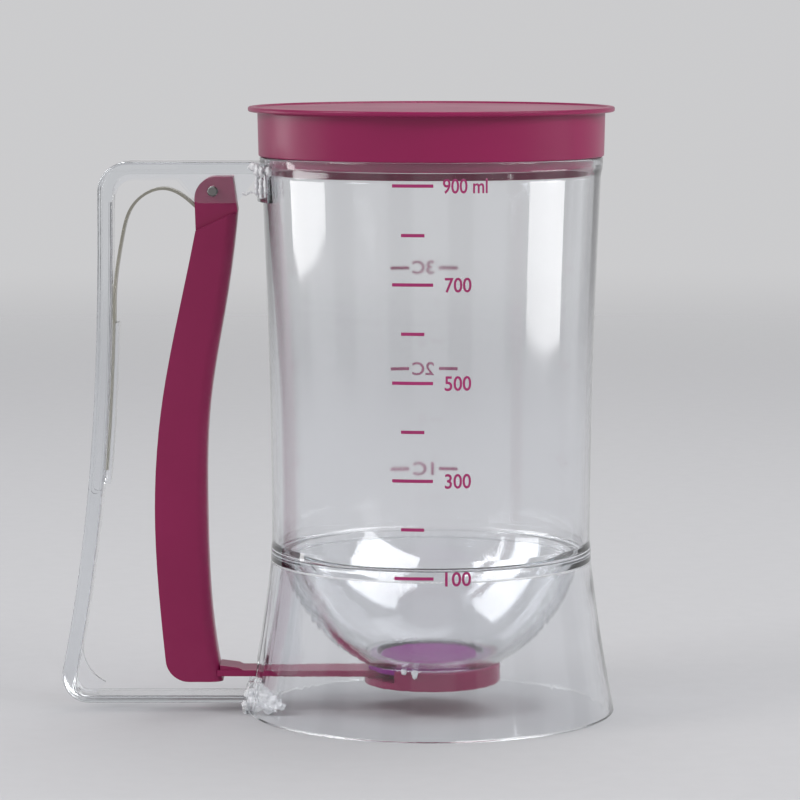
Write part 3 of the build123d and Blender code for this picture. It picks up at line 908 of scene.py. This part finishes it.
@dataclass
class Lid:
    """The push-in lid."""

    paints: Paints
    lathe: Lathe
    foot_level: float = 165.95
    foot_radius: float = 51.1
    top_radius: float = 51.4
    height: float = 14.6
    flange_radius: float = 54.2
    flange_thickness: float = 1.5
    wall: float = 1.8
    dish: float = 0.5
    bead: float = 2.4
    plug_bottom: float = 163.1
    plug_radius: float = 48.2
    dish_rounding: float = 0.4
    bead_rounding: float = 0.35
    flange_rounding: float = 0.6
    drum_rounding: float = 0.5
    shoulder_rounding: float = 0.3
    bore_rounding: float = 0.6
    bore_foot_rounding: float = 0.4
    ceiling_rounding: float = 0.8
    segments: int = 192

    def build(self) -> list[bpy.types.Object]:
        """Builds the lid.

        Returns:
            The piece, in a list.
        """
        top = self.foot_level + self.height
        under = top - self.flange_thickness
        ceiling = top - self.dish - self.wall
        shoulder = self.foot_level + self.wall
        dish_edge = self.flange_radius - self.bead
        plug_bore = self.plug_radius - self.wall
        outline = Outline().corners(
            (0.0, top - self.dish),
            (dish_edge, top - self.dish, self.dish_rounding),
            (dish_edge + self.dish, top, self.bead_rounding),
            (self.flange_radius, top, self.flange_rounding),
            (self.flange_radius, under, self.flange_rounding),
            (self.top_radius, under, self.drum_rounding),
            (self.foot_radius, self.foot_level, self.drum_rounding),
            (self.plug_radius, self.foot_level, self.shoulder_rounding),
            (self.plug_radius, self.plug_bottom, self.drum_rounding),
            (plug_bore, self.plug_bottom, self.drum_rounding),
            (plug_bore, shoulder, self.bore_rounding),
            (self.foot_radius - self.wall, shoulder, self.bore_foot_rounding),
            (self.top_radius - self.wall, ceiling, self.ceiling_rounding),
            (0.0, ceiling),
        )
        lid = self.lathe.turn("lid_shell", outline, False, self.paints.burgundy, self.segments)
        paint(lid, self.paints.burgundy)
        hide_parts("lid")
        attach(lid, LID_BODY)
        return [lid]


# ---------------------------------------------------------------- print on the jug
class PrintTrees:
    """Geometry node trees that lay ink on the jug's wall."""

    WALL = {"Foot Radius": 0.05, "Foot Level": 0.0, "Height": 0.1, "Flare": 0.0, "Waist": 0.0, "Turn": 0.0}
    FINISH = {"Finish": "NodeSocketMaterial"}
    MARK_COLUMNS = 13

    def __init__(self) -> None:
        """Builds both trees."""
        self.wrap = self._wrapped_print()
        self.marks = self._scale_marks()

    def _wrapped_print(self) -> bpy.types.NodeTree:
        """Builds the tree that bends flat lettering round a tapered wall with a waist.

        Returns:
            The tree.
        """
        inputs = {"Flat": "NodeSocketGeometry", **self.WALL, **self.FINISH}
        outputs = {"Print": "NodeSocketGeometry"}
        board, given, result = new_group("wrapped_print", "GeometryNodeTree", inputs, outputs)
        wall = given.outputs
        aside, depth, level = board.parts(board.add("GeometryNodeInputPosition").outputs[0])
        across = board.math("DIVIDE", board.math("SUBTRACT", level, wall["Foot Level"]), wall["Height"])
        cone = board.math("MULTIPLY_ADD", across, wall["Flare"], wall["Foot Radius"])
        dip = board.math("MULTIPLY", across, board.math("SUBTRACT", 1.0, across))
        dip = board.math("MULTIPLY", board.math("MULTIPLY", dip, 4.0), wall["Waist"])
        radius = board.math("SUBTRACT", cone, dip)
        turn = board.math("ADD", board.math("DIVIDE", aside, radius), wall["Turn"])
        reach = board.math("SUBTRACT", radius, depth)
        sideways = board.math("MULTIPLY", reach, board.math("SINE", turn))
        forwards = board.math("MULTIPLY", reach, board.math("COSINE", turn))
        place = board.vector(sideways, board.math("MULTIPLY", forwards, -1.0), level)
        bent = board.add("GeometryNodeSetPosition", {"Geometry": wall["Flat"], "Position": place})
        return finished_tree(board, given, result, bent.outputs[0])

    def _scale_marks(self) -> bpy.types.NodeTree:
        """Builds the tree that stacks equal marks at the scale's pitch and bends them round the wall.

        Returns:
            The tree.
        """
        inputs = {"Count": 1, "Pitch": 0.01, "First Level": 0.0, "Middle": 0.0, "Length": 0.01}
        inputs.update({"Mark Height": 0.001, "Ink": 0.00005, **self.WALL, **self.FINISH})
        outputs = {"Print": "NodeSocketGeometry"}
        board, given, result = new_group("scale_marks", "GeometryNodeTree", inputs, outputs)
        mark = given.outputs
        first = board.vector(mark["Middle"], 0.0, mark["First Level"])
        line = {"Count": mark["Count"], "Start Location": first, "Offset": board.vector(z=mark["Pitch"])}
        levels = board.add("GeometryNodeMeshLine", line).outputs["Mesh"]
        size = board.vector(mark["Length"], mark["Ink"], mark["Mark Height"])
        block = board.add("GeometryNodeMeshCube", {"Size": size, "Vertices X": self.MARK_COLUMNS})
        stack = {"Points": levels, "Instance": block.outputs["Mesh"]}
        placed = board.add("GeometryNodeInstanceOnPoints", stack)
        real = board.add("GeometryNodeRealizeInstances", {0: placed.outputs[0]})
        wall = {name: mark[name] for name in (*self.WALL, *self.FINISH)}
        bent = board.add("GeometryNodeGroup", node_tree=self.wrap)
        for name, value in {"Flat": real.outputs[0], **wall}.items():
            board.feed(bent.inputs[name], value)
        board.feed(result.inputs["Print"], bent.outputs[0])
        return board.tree


@dataclass(frozen=True)
class Line:
    """One printed line: its text, its left end, middle level, width and height in millimetres."""

    words: str
    left: float
    level: float
    width: float
    height: float


@dataclass(frozen=True)
class Marks:
    """A stack of equal marks: where they are, and how long and thick, in millimetres."""

    name: str
    count: int
    first: float
    pitch: float
    left: float
    right: float
    height: float = 0.95


@dataclass
class PrintedScale:
    """Millilitres on the jug's front and cups on its back."""

    paints: Paints
    trees: PrintTrees
    body: ClearBody
    ink: float = 0.06
    lift: float = 0.04
    stroke_gain: float = 0.06
    curve_steps: int = 4
    first_level: float = 46.65
    pitch: float = 28.2
    first_cup: float = 66.85
    cup_pitch: float = 31.2
    front_lines: tuple[Line, ...] = (
        Line("900 ml", 2.9, 159.4, 13.0, 4.3),
        Line("700", 3.5, 131.2, 7.7, 4.3),
        Line("500", 3.5, 103.0, 7.7, 4.3),
        Line("300", 3.6, 74.8, 7.6, 4.3),
    )
    low_lines: tuple[Line, ...] = (Line("100", 3.7, 46.5, 7.6, 4.2),)
    rear_lines: tuple[Line, ...] = (
        Line("1C", -1.3, 66.85, 6.6, 4.1),
        Line("2C", -1.3, 98.0, 6.9, 4.1),
        Line("3C", -1.3, 129.4, 6.9, 4.1),
    )

    def _wall(self, turn: float, on_ring: bool = False) -> dict[str, object]:
        """Describes the wall that a print lies on.

        Args:
            turn: where round the jug the print is centred.
            on_ring: whether the print is on the ring below the tube.

        Returns:
            The wall's shape as the trees' inputs.
        """
        body = self.body
        radius = body.ring_radius if on_ring else body.foot_radius
        return {
            "Foot Radius": (radius + self.lift + self.ink / 2) * MM,
            "Foot Level": body.foot_level * MM,
            "Height": (body.rim_level - body.foot_level) * MM,
            "Flare": 0.0 if on_ring else body.flare * MM,
            "Waist": 0.0 if on_ring else body.waist * MM,
            "Turn": turn,
            "Finish": self.paints.ink,
        }

    def _lettering(self, name: str, lines: tuple[Line, ...], wall: dict[str, object]) -> bpy.types.Object:
        """Prints lines of text on the wall.

        Args:
            name: the piece's name.
            lines: what is printed and where.
            wall: the wall's shape.

        Returns:
            The piece.
        """
        work = bmesh.new()
        for line in lines:
            letters = bpy.data.curves.new(name, "FONT")
            letters.body = line.words
            letters.size = line.height * MM
            letters.extrude = self.ink / 2 * MM
            letters.offset = self.stroke_gain * MM
            letters.resolution_u = self.curve_steps
            carrier = link(bpy.data.objects.new(name, letters))
            graph = bpy.context.evaluated_depsgraph_get()
            mesh = bpy.data.meshes.new_from_object(carrier.evaluated_get(graph), depsgraph=graph)
            bpy.data.objects.remove(carrier)
            low = [min(vertex.co[axis] for vertex in mesh.vertices) for axis in (0, 1)]
            high = [max(vertex.co[axis] for vertex in mesh.vertices) for axis in (0, 1)]
            scale = (line.width * MM / (high[0] - low[0]), line.height * MM / (high[1] - low[1]))
            for vertex in mesh.vertices:
                flat_x = line.left * MM + (vertex.co.x - low[0]) * scale[0]
                flat_z = (line.level - line.height / 2) * MM + (vertex.co.y - low[1]) * scale[1]
                vertex.co = (flat_x, -vertex.co.z, flat_z)
            work.from_mesh(mesh)
            bpy.data.meshes.remove(mesh)
        piece = piece_from(name, [], [])
        bmesh.ops.remove_doubles(work, verts=work.verts, dist=MERGE_DISTANCE / 2)
        bmesh.ops.recalc_face_normals(work, faces=work.faces)
        work.to_mesh(piece.data)
        work.free()
        run_tree(piece, self.trees.wrap, wall)
        return piece

    def _stack(self, marks: Marks, wall: dict[str, object]) -> bpy.types.Object:
        """Prints a stack of marks on the wall.

        Args:
            marks: the stack.
            wall: the wall's shape.

        Returns:
            The piece.
        """
        piece = piece_from(marks.name, [], [])
        sizes = {
            "Count": marks.count,
            "Pitch": marks.pitch * MM,
            "First Level": marks.first * MM,
            "Middle": (marks.left + marks.right) / 2 * MM,
            "Length": (marks.right - marks.left) * MM,
            "Mark Height": marks.height * MM,
            "Ink": self.ink * MM,
        }
        run_tree(piece, self.trees.marks, {**sizes, **wall})
        return piece

    def build(self) -> list[bpy.types.Object]:
        """Builds the print.

        Returns:
            The pieces.
        """
        front = self._wall(0.0)
        ring = self._wall(0.0, on_ring=True)
        rear = self._wall(math.pi)
        second = self.first_level + self.pitch
        pieces = [
            self._stack(Marks("long_marks", 4, second, self.pitch, -11.6, 0.2), front),
            self._stack(Marks("short_marks", 4, second - self.pitch / 2, self.pitch, -9.0, -2.3), front),
            self._stack(Marks("low_mark", 1, self.first_level, self.pitch, -11.0, 0.4), ring),
            self._stack(Marks("cup_marks_left", 3, self.first_cup, self.cup_pitch, -8.9, -2.9), rear),
            self._stack(Marks("cup_marks_right", 3, self.first_cup, self.cup_pitch, 6.6, 12.6), rear),
            self._lettering("front_figures", self.front_lines, front),
            self._lettering("low_figures", self.low_lines, ring),
            self._lettering("cup_figures", self.rear_lines, rear),
        ]
        for piece in pieces:
            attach(piece, DISPENSER_BODY)
        return pieces


# ---------------------------------------------------------------- marks of making, with painted highlights
@dataclass(frozen=True)
class Lump:
    """One blob of boiled-up plastic: its centre and half sizes, in millimetres."""

    centre: Triple
    reach: Triple


WELDS_AND_GLINTS: dict[str, tuple[Lump, ...]] = {
    "foot_weld_front": (
        Lump((-51.6, -8.2, 8.4), (1.5, 1.2, 2.1)),
        Lump((-53.4, -7.4, 5.8), (2.4, 1.3, 2.0)),
        Lump((-52.4, -8.4, 3.6), (2.5, 1.3, 1.9)),
        Lump((-50.8, -11.2, 3.0), (1.9, 1.0, 1.7)),
        Lump((-54.8, -6.9, 2.6), (1.9, 1.0, 1.5)),
        Lump((-50.2, -9.4, 7.4), (1.7, 1.4, 2.0)),
        Lump((-48.4, -9.6, 4.9), (2.3, 1.8, 2.3)),
        Lump((-46.1, -10.4, 4.0), (1.9, 1.5, 1.6)),
        Lump((-44.5, -11.0, 2.8), (1.4, 1.2, 1.2)),
        Lump((-47.6, -10.8, 2.2), (2.4, 1.6, 1.5)),
    ),
    "foot_weld_rear": (
        Lump((-51.8, 8.2, 8.0), (1.3, 1.1, 1.9)),
        Lump((-53.2, 7.6, 5.2), (2.2, 1.2, 2.3)),
        Lump((-52.0, 9.4, 2.8), (2.2, 1.2, 1.6)),
    ),
    "arm_weld_front": (
        Lump((-51.9, -7.4, 162.9), (2.0, 1.0, 1.3)),
        Lump((-51.0, -10.0, 162.0), (1.0, 2.4, 1.9)),
        Lump((-49.6, -14.9, 161.9), (0.9, 2.6, 1.8)),
        Lump((-47.4, -20.8, 162.4), (0.9, 2.2, 1.3)),
        # These three tall streaks are partly weld smear and partly a painted highlight: their cloudy white
        # covers the saddle's dark refracted edge.
        Lump((-51.4, -7.8, 157.8), (0.7, 0.8, 3.6)),
        Lump((-50.0, -13.8, 157.4), (0.6, 0.9, 3.6)),
        Lump((-48.5, -17.4, 158.0), (0.6, 1.1, 3.6)),
    ),
    # A painted glint: a small cloudy nub on the ear's face, where the ear's edge catches light.
    "ear_nub": (
        Lump((-54.7, -6.7, 154.9), (1.2, 0.35, 0.6)),
        Lump((-53.2, -6.7, 155.5), (0.7, 0.3, 0.4)),
    ),
    "arm_weld_rear": (
        Lump((-51.9, 7.4, 162.9), (1.9, 1.0, 1.2)),
        Lump((-51.0, 10.2, 161.8), (1.0, 2.2, 1.7)),
        Lump((-49.7, 14.6, 161.9), (0.8, 2.4, 1.5)),
    ),
}


@dataclass(frozen=True)
class Burr:
    """One torn flake on the outlet's lip: its turn in degrees, then its radius, level and half sizes."""

    turn: float
    radius: float
    level: float
    half_width: float
    half_height: float


@dataclass
class CloudyLumps:
    """Rough cloudy plastic where the handle is welded on and where the outlet was cut from its gate, with
    streaks and a nub of it as painted highlights.
    """

    paints: Paints
    voxel: float = 0.32
    roughness: float = 0.42
    ripple: float = 1.5
    fold_scale: float = 2.3
    fold_share: float = 0.5
    middle: float = 0.35
    ball_divisions: int = 3
    burr_thickness: float = 0.38
    burrs: tuple[Burr, ...] = (
        Burr(-113.5, 20.75, 14.6, 1.15, 1.2),
        Burr(-103.3, 20.75, 14.2, 1.05, 1.8),
        Burr(-7.0, 20.7, 14.2, 0.9, 1.1),
        Burr(113.0, 17.6, 17.5, 1.5, 0.4),
        Burr(104.0, 18.6, 17.45, 0.9, 0.35),
        Burr(50.0, 17.9, 17.5, 1.6, 0.4),
        Burr(38.0, 18.8, 17.5, 0.9, 0.4),
    )

    def _rough(self, name: str, lumps: tuple[Lump, ...], turns: tuple[float, ...]) -> bpy.types.Object:
        """Joins blobs into one rough skin.

        Args:
            name: the piece's name.
            lumps: the blobs.
            turns: how far each blob is turned about Z, in degrees.

        Returns:
            The piece.
        """
        work = bmesh.new()
        for lump, turn in zip(lumps, turns):
            made = bmesh.ops.create_icosphere(work, subdivisions=self.ball_divisions, radius=1.0)["verts"]
            scale = Matrix.Diagonal((*(Vector(lump.reach) * MM), 1.0))
            place = Matrix.Translation(Vector(lump.centre) * MM) @ Matrix.Rotation(math.radians(turn), 4, "Z")
            bmesh.ops.transform(work, matrix=place @ scale, verts=made)
        piece = piece_from(name, [], [])
        work.to_mesh(piece.data)
        work.free()
        modifier = piece.modifiers.new("skin", "REMESH")
        modifier.mode = "VOXEL"
        modifier.voxel_size = self.voxel * MM
        bake_modifiers(piece)
        mesh = piece.data
        offsets = []
        for vertex in mesh.vertices:
            spot = vertex.co / (self.ripple * MM)
            crease = abs(noise.noise(spot)) + self.fold_share * abs(noise.noise(spot * self.fold_scale))
            offsets.append(vertex.normal * ((crease - self.middle) * self.roughness * 2 * MM))
        for vertex, offset in zip(mesh.vertices, offsets):
            vertex.co += offset
        mesh.shade_smooth()
        paint(piece, self.paints.weld)
        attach(piece, DISPENSER_BODY)
        return piece

    def build(self) -> list[bpy.types.Object]:
        """Builds the welds, the burrs, and the streaks and nub that are painted highlights.

        Returns:
            The pieces.
        """
        pieces = [self._rough(name, lumps, (0.0,) * len(lumps)) for name, lumps in WELDS_AND_GLINTS.items()]
        burrs = []
        for burr in self.burrs:
            angle = math.radians(burr.turn)
            centre = (burr.radius * math.cos(angle), burr.radius * math.sin(angle), burr.level)
            burrs.append(Lump(centre, (self.burr_thickness, burr.half_width, burr.half_height)))
        turns = tuple(burr.turn for burr in self.burrs)
        return pieces + [self._rough("gate_burrs", tuple(burrs), turns)]


# ---------------------------------------------------------------- studio
@dataclass(frozen=True)
class FloorPaint:
    """Pale matt paint that fades out far from the object, so that no horizon shows."""

    name: str = "floor_paint"
    colour: Colour = (0.59, 0.59, 0.60)
    fleck: Colour = (0.56, 0.56, 0.57)
    roughness: float = 0.5
    fleck_scale: float = 140.0
    fleck_detail: float = 4.0
    fade: Point = (0.7, 1.9)

    def build(self) -> bpy.types.Material:
        """Makes the material.

        Returns:
            The material.
        """
        material, board, shader = new_material(self.name, Roughness=self.roughness, Specular_IOR_Level=0.0)
        place = board.add("ShaderNodeTexCoord").outputs["Object"]
        flecks = board.noise(place, self.fleck_scale, self.fleck_detail)
        board.feed(shader.inputs["Base Color"], board.mix(flecks, self.colour, self.fleck))
        reach = board.add("ShaderNodeVectorMath", {0: place}, operation="LENGTH").outputs["Value"]
        board.feed(shader.inputs["Alpha"], board.ramp(reach, self.fade, (1.0, 0.0), smooth=True))
        return material


@dataclass(frozen=True)
class Lamp:
    """A soft rectangular lamp, with lengths in metres and its roll in degrees, and what it acts on."""

    name: str
    place: Triple
    aim: Triple
    size: Point
    radiance: float
    roll: float = 0.0
    lights: bool = True
    mirrored: bool = True
    through_plastic: bool = True

    @classmethod
    def card(cls, name: str, place: Triple, size: Point, roll: float = 0.0) -> "Lamp":
        """Returns a card that faces along X and only shows in mirroring surfaces."""
        return cls(name, place, (0.0, *place[1:]), size, CARD_RADIANCE, roll, False, True, False)

    def build(self) -> None:
        """Makes the lamp."""
        data = bpy.data.lights.new(self.name, "AREA")
        data.shape = "RECTANGLE"
        data.size, data.size_y = self.size
        data.energy = WATTS_PER_RADIANCE * self.radiance * self.size[0] * self.size[1]
        lamp = link(bpy.data.objects.new(self.name, data))
        lamp.location = self.place
        facing = (Vector(self.aim) - Vector(self.place)).to_track_quat("-Z", "Y")
        lamp.rotation_euler = (facing @ Quaternion((0.0, 0.0, 1.0), math.radians(self.roll))).to_euler()
        lamp.visible_camera = False
        lamp.visible_diffuse = self.lights
        lamp.visible_glossy = self.mirrored
        lamp.visible_transmission = self.through_plastic

    def show_only_in(self, names: tuple[str, ...]) -> None:
        """Keeps the lamp to a few pieces.

        Args:
            names: the pieces that mirror it.
        """
        few = bpy.data.collections.new(f"{self.name}_pieces")
        for name in names:
            few.objects.link(bpy.data.objects[name])
        bpy.data.objects[self.name].light_linking.receiver_collection = few


@dataclass
class Studio:
    """Camera, floor, lamps and background."""

    camera_place: Triple = (-9.24, -1138.78, 214.66)
    camera_pitch: float = 6.088
    camera_reach: float = 100.0
    lens: float = 172.97
    sensor: float = 36.0
    floor_radius: float = 2.0
    floor_drop: float = 0.0001
    floor_steps: int = 64
    horizon: Colour = (0.60, 0.60, 0.61)
    zenith: Colour = (0.28, 0.28, 0.29)
    rise: Point = (0.1, 0.8)
    gap: Colour = (0.12, 0.12, 0.125)
    gap_count: float = 8.0
    gap_edge: float = 0.6
    dome_strength: float = 1.5
    mirrored_by: tuple[str, ...] = ("jug_shell", "lid_shell")
    lamps: tuple[Lamp, ...] = (
        Lamp("key", (-1.25, -0.55, 1.1), (0.0, 0.0, 0.08), (0.7, 0.7), 5.5),
        Lamp("fill", (1.25, -0.6, 1.0), (0.0, 0.0, 0.08), (0.7, 0.7), 4.0),
        Lamp("top", (0.3, 0.5, 1.6), (0.0, 0.0, 0.1), (1.0, 1.0), 1.8),
        Lamp.card("left_card", (-1.19, -0.02, 0.018), (0.56, 0.054)),
        Lamp.card("left_far", (-1.19, 0.484, 0.076), (0.462, 0.13), -5.4),
        Lamp.card("right_card", (1.19, -0.13, -0.008), (0.69, 0.076), 1.6),
        Lamp("left_high", (-1.08, -0.015, 0.78), (0.0, 0.0, 0.04), (1.1, 1.3), 6.0, 10.0, False, False),
        Lamp("right_high", (0.78, -0.56, 0.92), (0.0, 0.0, 0.04), (1.3, 1.3), 6.0, 45.0, False, False),
    )

    def camera(self) -> None:
        """Makes the camera."""
        data = bpy.data.cameras.new("camera")
        data.lens = self.lens
        data.sensor_width = self.sensor
        data.clip_end = self.camera_reach
        camera = link(bpy.data.objects.new("camera", data))
        camera.location = Vector(self.camera_place) * MM
        camera.rotation_euler = (math.radians(90.0 - self.camera_pitch), 0.0, 0.0)
        bpy.context.scene.camera = camera

    def floor(self) -> None:
        """Makes the floor as a disc just below the skirt's foot."""
        radius, level = self.floor_radius, -self.floor_drop
        turns = [math.tau * i / self.floor_steps for i in range(self.floor_steps)]
        rim = [(radius * math.cos(turn), radius * math.sin(turn), level) for turn in turns]
        floor = piece_from("floor", rim, [tuple(range(self.floor_steps))])
        floor.data.materials.append(FloorPaint().build())
        floor.visible_glossy = False

    def world(self) -> None:
        """Makes the pale surroundings, darker overhead, with dark gaps seen only through plastic."""
        world = bpy.data.worlds.new("studio")
        bpy.context.scene.world = world
        world.use_nodes = True
        board = NodeBoard(world.node_tree)
        x, y, level = board.parts(board.add("ShaderNodeTexCoord").outputs["Generated"])
        panels = board.mix(board.ramp(level, self.rise, smooth=True), self.horizon, self.zenith)
        turn = board.math("MULTIPLY", board.math("ARCTAN2", y, x), self.gap_count)
        between = board.math("MULTIPLY", board.math("COSINE", turn), -1.0)
        ray = board.add("ShaderNodeLightPath").outputs
        through = ray["Is Transmission Ray"]
        hidden = board.math("MULTIPLY", board.ramp(between, (0.0, self.gap_edge), smooth=True), through)
        shade = world.node_tree.nodes["Background"]
        board.feed(shade.inputs["Color"], board.mix(hidden, panels, self.gap))
        seen = board.math("MAXIMUM", ray["Is Camera Ray"], ray["Is Glossy Ray"])
        seen = board.math("MAXIMUM", seen, through)
        board.feed(shade.inputs["Strength"], board.ramp(seen, results=(self.dome_strength, 1.0)))

    def build(self) -> None:
        """Sets the whole studio up."""
        self.camera()
        self.floor()
        self.world()
        for lamp in self.lamps:
            lamp.build()
        bpy.context.scene.view_settings.view_transform = "Standard"

    def aim_cards(self) -> None:
        """Keeps the cards to the pieces that show their highlights, once those are built."""
        for lamp in self.lamps:
            if lamp.mirrored and not lamp.lights:
                lamp.show_only_in(self.mirrored_by)


def main() -> None:
    """Builds the scene in order and reports each piece."""
    studio = Studio()
    studio.build()
    paints = Paints()
    lathe = Lathe()
    body = ClearBody(paints, lathe)
    scale = PrintedScale(paints, PrintTrees(), body)
    lumps = CloudyLumps(paints)
    for assembly in (body, Handle(paints), Lever(paints, lathe), Lid(paints, lathe), scale, lumps):
        for piece in assembly.build():
            log.info("%s: %s, %d faces", type(assembly).__name__, piece.name, len(piece.data.polygons))
    studio.aim_cards()


if __name__ == "__main__":
    main()
